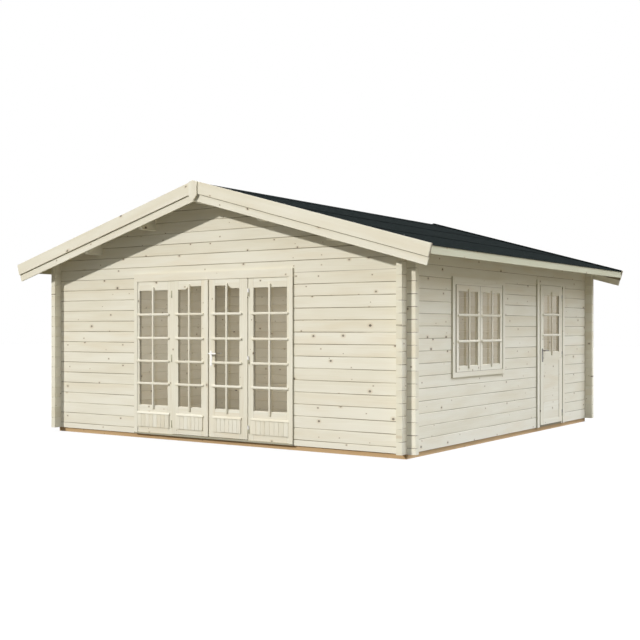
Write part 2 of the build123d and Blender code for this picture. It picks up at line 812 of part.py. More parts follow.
# Leaf of the side door: a plain panel below, a pane above
side_leaf_y1 = side_jamb_y1 + leaf_gap
side_leaf_y2 = side_jamb_y2 - leaf_gap
side_glass_y1 = side_leaf_y1 + side_stile
side_glass_y2 = side_leaf_y2 - side_stile
side_glass_low = wall_low + side_glass_bottom
side_glass_high = leaf_top - side_top_rail
with BuildPart() as side_door_leaf:
    with BuildSketch(Plane.YZ.offset(sash_back_x)):
        upright_box(side_leaf_y1, side_leaf_y2, door_low, leaf_top)
    extrude(amount=leaf_thickness)
    with BuildSketch(Plane.YZ.offset(sash_back_x)):
        upright_box(side_glass_y1, side_glass_y2, side_glass_low, side_glass_high)
    extrude(amount=leaf_thickness, mode=Mode.SUBTRACT)
    with BuildSketch(Plane.YZ.offset(pane_x)):
        upright_box(
            side_glass_y1 - pane_rebate, side_glass_y2 + pane_rebate,
            side_glass_low - pane_rebate, side_glass_high + pane_rebate,
        )
    extrude(amount=pane_thickness, mode=Mode.SUBTRACT)
    for x, into in ((casing_x, -1), (sash_back_x, 1)):
        with BuildSketch(Plane.YZ.offset(x)):
            upright_box(
                side_glass_y1, side_glass_y2,
                wall_low + leaf_bottom_rail, wall_low + side_lock_rail,
            )
        extrude(amount=into * side_panel_recess, mode=Mode.SUBTRACT)
side_door_leaf.part.label = "side_door_leaf"
export_step(side_door_leaf.part, "parts/side_door_leaf.step")

with BuildPart() as side_door_glass:
    with BuildSketch(Plane.YZ.offset(pane_x + pane_play)):
        upright_box(
            side_glass_y1 - pane_seat, side_glass_y2 + pane_seat,
            side_glass_low - pane_seat, side_glass_high + pane_seat,
        )
    extrude(amount=pane_thickness - 2 * pane_play)
side_door_glass.part.label = "side_door_glass"
export_step(side_door_glass.part, "parts/side_door_glass.step")


# Hinges: each has a lower half on the frame and an upper half on the leaf, knuckle and wing
def hinge_halves(axis, wing, lows):
    """Halves of the hinges of one leaf. The wing is a rectangle between two corners in plan."""
    for low in lows:
        with BuildSketch(Plane.XY.offset(low)) as section:
            with Locations(axis):
                Circle(hinge_radius)
            plan_box(wing[0][0], wing[1][0], wing[0][1], wing[1][1])
        extrude(section.sketch, amount=(hinge_length - hinge_play) / 2)


frame_lows = [wall_low + height - hinge_length / 2 for height in hinge_heights]
leaf_lows = [wall_low + height + hinge_play / 2 for height in hinge_heights]
left_axis = (left_hinge_x - hinge_clear, frame_y - hinge_back)
right_axis = (right_hinge_x + hinge_clear, frame_y - hinge_back)
side_axis_x = frame_x + hinge_back
side_axis_y = side_leaf_y2 + hinge_clear
wing_clear = hinge_back - hinge_radius
with BuildPart() as frame_hinges:
    for x, y in (left_axis, right_axis):
        hinge_halves((x, y), ((x - hinge_web / 2, y), (x + hinge_web / 2, frame_y)), frame_lows)
    side_wing = (
        (frame_x, side_axis_y - hinge_web / 2), (side_axis_x, side_axis_y + hinge_web / 2)
    )
    hinge_halves((side_axis_x, side_axis_y), side_wing, frame_lows)
frame_hinges.part.label = "frame_hinges"
export_step(frame_hinges.part, "parts/frame_hinges.step")


def leaf_wing(hinge_x, axis):
    """Wing from the edge of a front leaf to the knuckle."""
    back_y = frame_y - wing_clear
    return ((hinge_x, back_y - hinge_web), (axis[0], back_y))


with BuildPart() as front_door_left_fittings:
    hinge_halves(left_axis, leaf_wing(left_hinge_x, left_axis), leaf_lows)
front_door_left_fittings.part.label = "front_door_left_fittings"
export_step(front_door_left_fittings.part, "parts/front_door_left_fittings.step")


# Lever handles: a long plate on both faces of a leaf, a neck and a lever
def handle(plane, toward):
    """One handle on a plane whose normal leaves the leaf. Its lever runs along the plane's X, or
    against it where toward is -1."""
    plate_z = wall_low + handle_height
    lever_z = wall_low + lever_height
    with BuildSketch(plane) as section:
        with Locations((0, plate_z)):
            RectangleRounded(handle_plate_width, handle_plate_height, handle_plate_width / 3)
    extrude(section.sketch, amount=handle_plate_thickness)
    with BuildSketch(plane) as section:
        with Locations((0, lever_z)):
            Circle(lever_radius)
    extrude(section.sketch, amount=lever_stand_off)
    with BuildSketch(plane.offset(lever_stand_off - lever_radius)) as section:
        with Locations((toward * (lever_length / 2 - lever_radius), lever_z)):
            RectangleRounded(lever_length, 2 * lever_radius, lever_radius * 0.9)
    extrude(section.sketch, amount=2 * lever_radius)


handle_x = right_meet_x + handle_backset
leaf_back_y = casing_y + leaf_thickness
front_out = Plane(origin=(handle_x, casing_y, 0), x_dir=(1, 0, 0), z_dir=(0, -1, 0))
front_in = Plane(origin=(handle_x, leaf_back_y, 0), x_dir=(-1, 0, 0), z_dir=(0, 1, 0))
with BuildPart() as front_door_right_fittings:
    handle(front_out, 1)
    handle(front_in, -1)
    hinge_halves(right_axis, leaf_wing(right_hinge_x, right_axis), leaf_lows)
front_door_right_fittings.part.label = "front_door_right_fittings"
export_step(front_door_right_fittings.part, "parts/front_door_right_fittings.step")

side_handle_y = side_leaf_y1 + side_handle_backset
side_out = Plane(origin=(casing_x, side_handle_y, 0), x_dir=(0, 1, 0), z_dir=(1, 0, 0))
side_in = Plane(origin=(sash_back_x, side_handle_y, 0), x_dir=(0, -1, 0), z_dir=(-1, 0, 0))
side_wing_x = frame_x + wing_clear
side_leaf_wing = ((side_wing_x, side_leaf_y2), (side_wing_x + hinge_web, side_axis_y))
with BuildPart() as side_door_fittings:
    handle(side_out, 1)
    handle(side_in, -1)
    hinge_halves((side_axis_x, side_axis_y), side_leaf_wing, leaf_lows)
side_door_fittings.part.label = "side_door_fittings"
export_step(side_door_fittings.part, "parts/side_door_fittings.step")
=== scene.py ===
from math import cos, pi, radians, sin, tan

import bpy
import numpy as np
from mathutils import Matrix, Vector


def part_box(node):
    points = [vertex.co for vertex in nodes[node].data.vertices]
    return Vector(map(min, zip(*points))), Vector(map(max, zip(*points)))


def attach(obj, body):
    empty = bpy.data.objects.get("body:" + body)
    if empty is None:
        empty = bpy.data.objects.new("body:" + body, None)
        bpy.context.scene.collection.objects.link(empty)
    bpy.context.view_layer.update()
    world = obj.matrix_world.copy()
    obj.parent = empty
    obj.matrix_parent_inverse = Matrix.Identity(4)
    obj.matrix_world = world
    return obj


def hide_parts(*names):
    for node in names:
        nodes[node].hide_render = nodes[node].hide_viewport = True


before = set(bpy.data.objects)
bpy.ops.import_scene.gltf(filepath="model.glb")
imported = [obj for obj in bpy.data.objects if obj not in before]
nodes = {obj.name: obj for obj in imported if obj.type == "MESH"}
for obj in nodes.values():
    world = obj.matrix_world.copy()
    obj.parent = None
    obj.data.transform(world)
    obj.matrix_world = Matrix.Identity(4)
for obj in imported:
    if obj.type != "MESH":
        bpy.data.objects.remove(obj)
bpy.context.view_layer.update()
scene = bpy.context.scene
scene.view_settings.view_transform = "Standard"


# Camera. The photograph looks level at the right front corner from about 9.5 m in front of the
# glazed gable, with the horizon a little below the middle of the picture.
camera_data = bpy.data.cameras.new("photo_camera")
camera_data.lens = 57.31
camera_data.sensor_width = 36
camera_data.shift_y = 0.0134
camera_data.clip_end = 200
camera = bpy.data.objects.new("photo_camera", camera_data)
camera.location = (7.997, -12.039, 1.378)
camera.rotation_euler = (radians(90), 0, radians(34.43))
scene.collection.objects.link(camera)
scene.camera = camera


# Light. A small soft sun from the front left lights the gable front, and a pale surrounding, which
# is brighter at the right, the back and above, lights the rest. The camera, metal and glass see
# plain white. Low down the light is warmer, as it comes off the ground and what stands around.
def put(tree, kind, inputs=None, **settings):
    """Adds a shader node, sets its properties, and fills each input with a value or an output."""
    made = tree.nodes.new("ShaderNode" + kind)
    for name, value in settings.items():
        setattr(made, name, value)
    for name, value in (inputs or {}).items():
        if isinstance(value, bpy.types.NodeSocket):
            tree.links.new(value, made.inputs[name])
        else:
            made.inputs[name].default_value = value
    return made


def calc(tree, operation, *values):
    """Adds a Math node on numbers or outputs, and returns its output."""
    return put(tree, "Math", dict(enumerate(values)), operation=operation).outputs[0]


def blend(tree, share, a, b, kind="MIX"):
    """Mixes two colours: share 0 gives a, share 1 gives b. Returns the output."""
    inputs = {0: share, 6: a, 7: b}
    return put(tree, "Mix", inputs, data_type="RGBA", blend_type=kind).outputs[2]


def ramp(tree, value, low, high, start=0.0, end=1.0):
    """Goes smoothly from start to end while value goes from low to high."""
    inputs = {0: value, 1: low, 2: high, 3: start, 4: end}
    return put(tree, "MapRange", inputs, interpolation_type="SMOOTHSTEP").outputs[0]


def new_material(name):
    """A material with an empty node tree. Returns both."""
    material = bpy.data.materials.new(name)
    material.use_nodes = True
    material.node_tree.nodes.clear()
    return material, material.node_tree


def seen_directly(tree):
    """1 for rays from the camera and through or off glass and metal, 0 for diffuse light."""
    path = put(tree, "LightPath").outputs
    seen = calc(tree, "MAXIMUM", path["Is Camera Ray"], path["Is Glossy Ray"])
    return calc(tree, "MAXIMUM", seen, path["Is Transmission Ray"])


surround_low, surround_high = 0.45, 3.12
level_share, zenith_gain, back_share = 0.20, 3.0, 0.62
low_light, high_light = (1.0, 0.90, 0.70, 1), (0.96, 1.0, 1.09, 1)
front_left = (-0.48, -0.88, 0)
world = bpy.data.worlds.new("surround")
scene.world = world
world.use_nodes = True
sky = world.node_tree
sky.nodes.clear()
heading = put(sky, "TexCoord").outputs["Generated"]
toward_front_left = put(sky, "VectorMath", {0: heading, 1: front_left}, operation="DOT_PRODUCT")
heading_parts = put(sky, "SeparateXYZ", {0: heading}).outputs
upward = calc(sky, "MAXIMUM", heading_parts[2], 0.0)
backward = ramp(sky, heading_parts[1], 0.25, 0.85, 1.0, back_share)
surround = ramp(sky, toward_front_left.outputs["Value"], -0.55, -0.10, surround_high, surround_low)
surround = calc(sky, "MULTIPLY", calc(sky, "MULTIPLY", surround, backward), calc(
    sky, "MULTIPLY_ADD", calc(sky, "MULTIPLY", upward, upward), zenith_gain, level_share))
sky_seen = seen_directly(sky)
sky_level = calc(sky, "ADD", sky_seen, calc(sky, "MULTIPLY", calc(
    sky, "SUBTRACT", 1.0, sky_seen), surround))
sky_colour = blend(sky, calc(sky, "MULTIPLY", upward, 1.6), low_light, high_light)
sky_colour = blend(sky, sky_seen, sky_colour, (1, 1, 1, 1))
sky_light = put(sky, "Background", {"Color": sky_colour, "Strength": sky_level})
put(sky, "OutputWorld", {"Surface": sky_light.outputs[0]})

sun_data = bpy.data.lights.new("soft_sun", "SUN")
sun_data.energy = 2.40
sun_data.angle = radians(2.5)
sun_data.color = (1.0, 0.97, 0.92)
sun = bpy.data.objects.new("soft_sun", sun_data)
sun_heading = np.array([0.431, 0.783, -0.449])
sun.rotation_euler = (
    np.arccos(-sun_heading[2] / np.linalg.norm(sun_heading)), 0,
    np.arctan2(-sun_heading[0], sun_heading[1]),
)
scene.collection.objects.link(sun)

# A dim lamp under the ceiling stands for the daylight that falls on the pale walls of the room.
room_data = bpy.data.lights.new("room_fill", "AREA")
room_data.shape = "SQUARE"
room_data.size = 4.2
room_data.energy = 58
room_data.color = (0.90, 0.92, 1.0)
room = bpy.data.objects.new("room_fill", room_data)
room.location = (0, 0, 2.15)
room.visible_camera = False
room.visible_glossy = False
room.visible_transmission = False
scene.collection.objects.link(room)

# The floor throws back a little warm light and takes the shadow of the cabin. A glow that only the
# camera, metal and glass see makes it white away from the shadow.
floor_half = 60
floor_mesh = bpy.data.meshes.new("studio_floor")
floor_mesh.from_pydata([(-floor_half, -floor_half, 0), (floor_half, -floor_half, 0),
                        (floor_half, floor_half, 0), (-floor_half, floor_half, 0)],
                       [], [(0, 1, 2, 3)])
floor = bpy.data.objects.new("studio_floor", floor_mesh)
scene.collection.objects.link(floor)
floor_material, tree = new_material("studio_floor")
floor_matt = put(tree, "BsdfDiffuse", {"Color": (0.150, 0.140, 0.112, 1)})
floor_glow = put(tree, "Emission", {"Color": (0.858, 0.867, 0.893, 1),
                                    "Strength": seen_directly(tree)})
floor_both = put(tree, "AddShader", {0: floor_matt.outputs[0], 1: floor_glow.outputs[0]})
put(tree, "OutputMaterial", {"Surface": floor_both.outputs[0]})
floor_mesh.materials.append(floor_material)


# Log walls. Planed pine logs of one course height are stacked, with a small V at each joint, and
# cross at the corners in notches. The wood is untreated, pale cream with small dark knots.
log_height = 0.135
wall_middle = 2.665
side_first_joint = 0.055
front_first_joint = side_first_joint + log_height / 2
pine_pale = (0.880, 0.858, 0.745, 1)
pine_dark = (0.725, 0.675, 0.520, 1)
pine_halo = (0.600, 0.480, 0.310, 1)
pine_knot = (0.042, 0.030, 0.022, 1)


def new_group(name, inputs, outputs):
    """A shader node group with the named inputs and outputs, each (name, socket kind)."""
    group = bpy.data.node_groups.new(name, "ShaderNodeTree")
    for direction, sockets in (("INPUT", inputs), ("OUTPUT", outputs)):
        for label, kind in sockets:
            group.interface.new_socket(label, in_out=direction, socket_type="NodeSocket" + kind)
    group_in = group.nodes.new("NodeGroupInput")
    group_out = group.nodes.new("NodeGroupOutput")
    return group, group_in.outputs, group_out.inputs


def vector(tree, x, y, z):
    """A vector output from three numbers or outputs."""
    return put(tree, "CombineXYZ", {0: x, 1: y, 2: z}).outputs[0]


# Sawn pine, for all the timber: year rings about a pith that wanders along the board, fine fibre
# streaks, and oval knots, one at most in each cell of a loose pattern, with the grain round them.
pine_group, board_in, board_out = new_group(
    "sawn_pine",
    [("Along", "Float"), ("Across", "Float"), ("Depth", "Float"), ("Board", "Float"),
     ("Knot Share", "Float"), ("Knot Radius", "Float"), ("Pale", "Color"), ("Dark", "Color"),
     ("Halo", "Color"), ("Knot", "Color")],
    [("Color", "Color"), ("Height", "Float"), ("Roughness", "Float")],
)
g = pine_group
knot_cell = (0.34, 0.12)
ring_spacing = 0.0055
pith_sway, pith_spread, knot_push = 0.085, 0.08, 0.012
late_share, fibre_share, board_share, slow_share = 0.26, 0.30, 0.40, 0.9
fibre_scale = 420.0
shift = calc(g, "MULTIPLY", board_in["Board"], 61.7)
along = calc(g, "ADD", board_in["Along"], shift)
cell_at = vector(g, calc(g, "DIVIDE", along, knot_cell[0]), calc(g, "ADD", calc(
    g, "DIVIDE", board_in["Across"], knot_cell[1]), shift), 0)
cells = put(g, "TexVoronoi", {"Vector": cell_at, "Scale": 1.0}, voronoi_dimensions="2D")
to_knot = put(g, "VectorMath", {0: cell_at, 1: cells.outputs["Position"]}, operation="SUBTRACT")
to_knot = put(g, "VectorMath", {0: to_knot.outputs[0], 1: (
    knot_cell[0] * 0.75, knot_cell[1], 1)}, operation="MULTIPLY")
knot_far = put(g, "VectorMath", {0: to_knot.outputs[0]}, operation="LENGTH").outputs["Value"]
luck = put(g, "SeparateColor", {0: cells.outputs["Color"]}).outputs
knot_here = calc(g, "LESS_THAN", luck[0], board_in["Knot Share"])
knot_size = calc(g, "MULTIPLY", board_in["Knot Radius"], calc(
    g, "MULTIPLY_ADD", calc(g, "MULTIPLY", luck[1], luck[1]), 0.75, 0.25))
knot_ratio = calc(g, "DIVIDE", knot_far, knot_size)
knot_strength = calc(g, "MULTIPLY", knot_here, calc(g, "MULTIPLY_ADD", luck[2], 0.40, 0.60))
knot = calc(g, "MULTIPLY", knot_strength, ramp(g, knot_ratio, 0.82, 1.08, 1.0, 0.0))
halo = calc(g, "MULTIPLY", knot_here, ramp(g, knot_ratio, 0.9, 3.2, 1.0, 0.0))
slow = put(g, "TexNoise", {"Vector": vector(g, calc(g, "MULTIPLY", along, 1.3), calc(
    g, "MULTIPLY", board_in["Across"], 9.0), board_in["Board"]),
    "Scale": 1.0, "Detail": 2.0}).outputs[0]
slow_half = calc(g, "SUBTRACT", slow, 0.5)
sway = calc(g, "MULTIPLY", slow_half, pith_sway)
pith = calc(g, "SUBTRACT", calc(g, "ADD", board_in["Across"], sway), calc(
    g, "MULTIPLY", calc(g, "SUBTRACT", board_in["Board"], 0.5), pith_spread))
pith = calc(g, "ADD", pith, calc(g, "MULTIPLY", halo, knot_push))
ring_far = calc(g, "SQRT", calc(g, "ADD", calc(g, "MULTIPLY", pith, pith), calc(
    g, "MULTIPLY", board_in["Depth"], board_in["Depth"])))
ring = calc(g, "FRACT", calc(g, "DIVIDE", ring_far, ring_spacing))
late = calc(g, "POWER", ring, 3.0)
fibre = put(g, "TexNoise", {"Vector": vector(g, calc(g, "MULTIPLY", along, 6.0), calc(
    g, "MULTIPLY", board_in["Across"], fibre_scale), calc(
        g, "MULTIPLY", board_in["Depth"], fibre_scale)), "Scale": 1.0, "Detail": 3.0}).outputs[0]
tone = calc(g, "FRACT", calc(g, "MULTIPLY", board_in["Board"], 17.3))
share = calc(g, "ADD", calc(g, "MULTIPLY", late, late_share), calc(
    g, "MULTIPLY", fibre, fibre_share))
share = calc(g, "ADD", share, calc(g, "MULTIPLY", calc(g, "SUBTRACT", tone, 0.5), board_share))
share = calc(g, "ADD", share, calc(g, "MULTIPLY", slow_half, slow_share))
colour = blend(g, share, board_in["Pale"], board_in["Dark"])
rosy = calc(g, "MULTIPLY", calc(g, "FRACT", calc(g, "MULTIPLY", board_in["Board"], 7.9)), ramp(
    g, slow, 0.40, 0.70, 0.15, 0.75))
colour = blend(g, calc(g, "MULTIPLY", rosy, 0.55), colour, (1.0, 0.935, 0.86, 1), "MULTIPLY")
colour = blend(g, calc(g, "MULTIPLY", halo, 0.42), colour, board_in["Halo"])
colour = blend(g, calc(g, "MULTIPLY", knot, ramp(
    g, knot_ratio, 0.2, 0.95, 0.75, 0.97)), colour, board_in["Knot"])
g.links.new(colour, board_out["Color"])
g.links.new(calc(g, "SUBTRACT", calc(g, "MULTIPLY", fibre, 0.4), calc(
    g, "MULTIPLY", late, 0.6)), board_out["Height"])
g.links.new(calc(g, "MULTIPLY_ADD", fibre, 0.18, 0.50), board_out["Roughness"])


joint_and_shade_tone = (0.34, 0.29, 0.24)


def pine_material(name, grain, colours=(pine_pale, pine_dark, pine_halo, pine_knot),
                  knot_share=0.42, knot_radius=0.0135, joint_and_shade_line=None, darker_face_axis=None, end_grain_and_shade_tone=0.97):
    """Pine whose grain(tree, x, y, z) gives the outputs along, across, depth and board number.
    The line function of (tree, x, y, z), where given, is 1 in a dark line: in some uses a real
    joint between two pieces of timber, in others painted shade in gaps and under a board's edge.
    Faces square to the given axis (0 for X, 1 for Y) are darker by the given tone: end grain on the
    logs and purlins, painted shade on the flanks of the door posts and window casing."""
    material, tree = new_material(name)
    place = put(tree, "SeparateXYZ", {0: put(tree, "TexCoord").outputs["Object"]}).outputs
    lines = grain(tree, place[0], place[1], place[2])
    wood = put(tree, "Group", node_tree=pine_group)
    for socket, value in zip(("Along", "Across", "Depth", "Board"), lines):
        if isinstance(value, bpy.types.NodeSocket):
            tree.links.new(value, wood.inputs[socket])
        else:
            wood.inputs[socket].default_value = value
    for socket, value in zip(("Pale", "Dark", "Halo", "Knot"), colours):
        wood.inputs[socket].default_value = value
    wood.inputs["Knot Share"].default_value = knot_share
    wood.inputs["Knot Radius"].default_value = knot_radius
    colour = wood.outputs["Color"]
    # Dark lines: real joints between pieces, and painted shade in the gaps between logs and around
    # sashes and under the upper bargeboards.
    if joint_and_shade_line is not None:
        dark = tuple(f * c for f, c in zip(joint_and_shade_tone, colours[1])) + (1,)
        colour = blend(tree, joint_and_shade_line(tree, place[0], place[1], place[2]), colour, dark)
    if darker_face_axis is not None:
        # Faces square to the axis are darker: end grain on the logs and purlins, painted shade on
        # the flanks of the door posts and window casing.
        facing = put(tree, "SeparateXYZ", {0: put(tree, "TexCoord").outputs["Normal"]})
        cut = calc(tree, "GREATER_THAN", calc(tree, "ABSOLUTE", facing.outputs[darker_face_axis]), 0.9)
        colour = blend(tree, cut, colour, (end_grain_and_shade_tone, end_grain_and_shade_tone, 0.97 * end_grain_and_shade_tone, 1), "MULTIPLY")
    bump = put(tree, "Bump", {"Height": wood.outputs["Height"], "Strength": 0.35,
                              "Distance": 0.0006})
    shader = put(tree, "BsdfPrincipled", {
        "Base Color": colour, "Roughness": wood.outputs["Roughness"],
        "Specular IOR Level": 0.25, "Normal": bump.outputs[0]})
    put(tree, "OutputMaterial", {"Surface": shader.outputs[0]})
    return material


def random_of(tree, value):
    """A random number from 0 to 1 that is the same wherever the value is the same."""
    return put(tree, "TexWhiteNoise", {"W": value}, noise_dimensions="1D").outputs["Value"]


def course_of(tree, z, first_joint):
    """Number of the log course at a height, and the height above the middle of that log."""
    courses = calc(tree, "DIVIDE", calc(tree, "SUBTRACT", z, first_joint), log_height)
    course = calc(tree, "FLOOR", courses)
    inside = calc(tree, "SUBTRACT", calc(tree, "SUBTRACT", courses, course), 0.5)
    return course, calc(tree, "MULTIPLY", inside, log_height)


def log_grain(along_x, first_joint, seed):
    """Grain of a wall's logs, which run along X or else along Y."""
    def grain(tree, x, y, z):
        course, height = course_of(tree, z, first_joint)
        across = y if along_x else x
        depth = calc(tree, "SUBTRACT", calc(tree, "ABSOLUTE", across), wall_middle)
        board = random_of(tree, calc(tree, "ADD", course, seed))
        return (x if along_x else y), height, depth, board
    return grain


def log_joint_shade(along_x, first_joint, width):
    """Painted shade: a dark line along the bottom of the V between two logs, where the narrow
    space between them lies in shade. It is painted weaker on the inner face, and grows stronger and
    weaker along the logs."""
    def joint_and_shade_line(tree, x, y, z):
        height = course_of(tree, z, first_joint)[1]
        outer = ramp(tree, calc(tree, "ABSOLUTE", y if along_x else x), wall_middle - 0.02,
                     wall_middle + 0.02, 0.15, 0.95)
        joint = calc(tree, "ROUND", calc(tree, "DIVIDE", calc(
            tree, "SUBTRACT", z, first_joint), log_height))
        line_strength = put(tree, "TexNoise", {"Vector": vector(tree, calc(
            tree, "MULTIPLY", x if along_x else y, 1.1), calc(tree, "MULTIPLY", joint, 7.3), 0.0),
            "Scale": 1.0, "Detail": 2.0}).outputs[0]
        line = ramp(tree, calc(tree, "ABSOLUTE", height), log_height / 2 - width,
                    log_height / 2 - width / 3)
        return calc(tree, "MULTIPLY", calc(tree, "MULTIPLY", line, outer), ramp(
            tree, line_strength, 0.30, 0.62, 0.35, 1.0))
    return joint_and_shade_line


def dress(material, *names):
    """Gives CAD nodes a material."""
    for name in names:
        nodes[name].data.materials.clear()
        nodes[name].data.materials.append(material)


# Painted shade: each wall's logs get a dark line at their joints, painted wider on the front walls,
# which face the sun.
for name, along_x, first_joint, seed, width, walls in (
    ("pine_front_logs", True, front_first_joint, 3.5, 0.0050,
     ("front_wall_left", "front_wall_right", "front_gable")),
    ("pine_back_logs", True, front_first_joint, 53.5, 0.0036, ("back_wall",)),
    ("pine_left_logs", False, side_first_joint, 103.5, 0.0036, ("left_wall",)),
    ("pine_right_logs", False, side_first_joint, 153.5, 0.0036,
     ("right_wall_front", "right_wall_under_window", "right_wall_over_window",
      "right_wall_middle", "right_wall_over_door", "right_wall_rear", "right_wall_top")),
):
    dress(pine_material(name, log_grain(along_x, first_joint, seed),
                        joint_and_shade_line=log_joint_shade(along_x, first_joint, width),
                        darker_face_axis=0 if along_x else 1), *walls)


# Base. Pressure-treated beams lie under the walls, brown from the treatment, with joists between
# the front and back beams. They are sawn, not planed.
treated = ((0.660, 0.460, 0.250, 1), (0.500, 0.310, 0.150, 1), (0.340, 0.190, 0.090, 1),
           (0.150, 0.075, 0.040, 1))
cross_beams_from = 2.62


def base_grain(tree, x, y, z):
    """Along X in the front and back beams, and along Y in the side beams and the joists."""
    cross = calc(tree, "GREATER_THAN", calc(tree, "ABSOLUTE", y), cross_beams_from)
    along = calc(tree, "ADD", calc(tree, "MULTIPLY", cross, x), calc(
        tree, "MULTIPLY", calc(tree, "SUBTRACT", 1.0, cross), y))
    board = random_of(tree, calc(tree, "ADD", calc(tree, "MULTIPLY", cross, calc(
        tree, "SIGN", y)), calc(tree, "MULTIPLY", calc(tree, "SUBTRACT", 1.0, cross), calc(
            tree, "ROUND", calc(tree, "MULTIPLY", x, 2.0)))))
    return along, z, 0.03, board


dress(pine_material("treated_pine", base_grain, treated, knot_share=0.5, knot_radius=0.012),
      "base_beams")


# Purlins, fascias and bargeboards, pine like the logs. Each bargeboard is two boards that follow
# the slope, the upper one in front of the lower one.
roof_pitch = radians(15.7)
roof_slope = tan(roof_pitch)
ridge_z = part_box("purlins")[1].z
barge_step = 2.9871
upper_edge = ridge_z + 0.042 - 0.139 / cos(roof_pitch)


def purlin_grain(tree, x, y, z):
    """Along Y, one board number for each purlin."""
    board = random_of(tree, calc(tree, "ROUND", calc(tree, "DIVIDE", x, 0.9)))
    return y, z, x, board


def fascia_grain(tree, x, y, z):
    """Along Y, one board number for each eave."""
    return y, z, 0.02, random_of(tree, calc(tree, "SIGN", x))


def barge_grain(tree, x, y, z):
    """Down the slope, one board number for each of the eight boards."""
    far = calc(tree, "ABSOLUTE", x)
    across = calc(tree, "MULTIPLY_ADD", far, roof_slope, z)
    upper = calc(tree, "GREATER_THAN", calc(tree, "ABSOLUTE", y), barge_step)
    side = calc(tree, "MULTIPLY_ADD", calc(tree, "SIGN", x), 2.0, calc(tree, "SIGN", y))
    return far, across, 0.02, random_of(tree, calc(tree, "MULTIPLY_ADD", upper, 9.0, side))


def barge_shadow_line(tree, x, y, z):
    """Painted shadow: a dark line on the face of the lower board, just under the edge of the upper
    one, where the upper board casts its shadow.
    """
    across = calc(tree, "MULTIPLY_ADD", calc(tree, "ABSOLUTE", x), roof_slope, z)
    lower = calc(tree, "LESS_THAN", calc(tree, "ABSOLUTE", y), barge_step)
    below = calc(tree, "SUBTRACT", upper_edge, across)
    return calc(tree, "MULTIPLY", lower, ramp(tree, below, 0.004, 0.011, 0.85, 0.0))


# Painted shade: the fascias are given darker pine colours than the logs, standing in for shade on
# them.
fascia_pine_shaded = ((0.640, 0.640, 0.490, 1), (0.530, 0.505, 0.355, 1), pine_halo, pine_knot)
dress(pine_material("pine_purlins", purlin_grain, darker_face_axis=1), "purlins")
dress(pine_material("pine_fascias", fascia_grain, fascia_pine_shaded), "fascias")
dress(pine_material("pine_bargeboards", barge_grain, knot_share=0.34, joint_and_shade_line=barge_shadow_line),
      "bargeboards_front", "bargeboards_back")


def plate_grain(tree, x, y, z):
    """Upright."""
    return z, x, 0.02, random_of(tree, calc(tree, "SIGN", y))


dress(pine_material("pine_apex_plates", plate_grain, knot_share=0.3), "apex_plates")


# Door and window frames of planed pine: posts and casings are upright, heads and sills lie. The
# sills are an oiled hardwood, weathered to grey.
def straight_grain(along, across, depth, numbered, scale):
    """Grain along one axis (0, 1 or 2 for X, Y or Z). Places on the numbered axis that round to
    the same number when multiplied by scale are one piece of wood."""
    def grain(tree, *place):
        number = calc(tree, "ROUND", calc(tree, "MULTIPLY", place[numbered], scale))
        return place[along], place[across], place[depth], random_of(tree, number)
    return grain


front_post_grain = straight_grain(2, 0, 1, 0, 9.0)
side_post_grain = straight_grain(2, 1, 0, 1, 9.0)
front_head_grain = straight_grain(0, 2, 1, 1, 12.0)
side_head_grain = straight_grain(1, 2, 0, 0, 12.0)
# Painted shade: the flanks of the door posts and the window casing, square to the wall, are painted
# darker, for the shade beside the proud casings.
casing_flank_shade = 0.70
for name, grain, axis, node in (
    ("pine_front_posts", front_post_grain, 0, "front_door_posts"),
    ("pine_side_posts", side_post_grain, 1, "side_door_posts"),
):
    dress(pine_material(name, grain, knot_share=0.30, knot_radius=0.011, darker_face_axis=axis,
                        end_grain_and_shade_tone=casing_flank_shade), node)
hardwood = ((0.400, 0.360, 0.260, 1), (0.290, 0.260, 0.185, 1), (0.160, 0.110, 0.070, 1),
            (0.100, 0.065, 0.040, 1))
for side_name, grain in (("front", front_head_grain), ("side", side_head_grain)):
    dress(pine_material("pine_" + side_name + "_head", grain, knot_share=0.35,
                        knot_radius=0.011), side_name + "_door_head")
    dress(pine_material("oiled_sill_" + side_name, grain, hardwood, knot_share=0.0),
          side_name + "_door_sill")


# Leaves, sidelights and sashes: stiles run upright past the rails, which lie between them. A fine
# dark line shows where a rail meets a stile.
def joinery(spans, on_x, seed):
    """Grain and joint lines of frames whose rails lie between the two ends of each span."""
    def between(tree, place):
        inside = 0.0
        for low, high in spans:
            over = calc(tree, "GREATER_THAN", place, low)
            under = calc(tree, "LESS_THAN", place, high)
            inside = calc(tree, "ADD", inside, calc(tree, "MULTIPLY", over, under))
        return inside

    def grain(tree, x, y, z):
        place, depth = (x, y) if on_x else (y, x)
        rail = between(tree, place)
        stile = calc(tree, "SUBTRACT", 1.0, rail)
        along = calc(tree, "ADD", calc(tree, "MULTIPLY", rail, place), calc(
            tree, "MULTIPLY", stile, z))
        across = calc(tree, "ADD", calc(tree, "MULTIPLY", rail, z), calc(
            tree, "MULTIPLY", stile, place))
        rail_number = calc(tree, "MULTIPLY", rail, calc(tree, "ROUND", calc(
            tree, "MULTIPLY", z, 1.3)))
        stile_number = calc(tree, "MULTIPLY", stile, calc(tree, "ROUND", calc(
            tree, "MULTIPLY", place, 3.7)))
        number = calc(tree, "ADD", calc(tree, "MULTIPLY_ADD", rail_number, 7.0, seed), stile_number)
        return along, across, depth, random_of(tree, number)

    def joint_and_shade_line(tree, x, y, z):
        place = x if on_x else y
        line = 0.0
        for edge in np.ravel(spans):
            off = calc(tree, "ABSOLUTE", calc(tree, "SUBTRACT", place, float(edge)))
            line = calc(tree, "MAXIMUM", line, ramp(tree, off, 0.0004, 0.0012, 0.6, 0.0))
        return line
    return grain, joint_and_shade_line


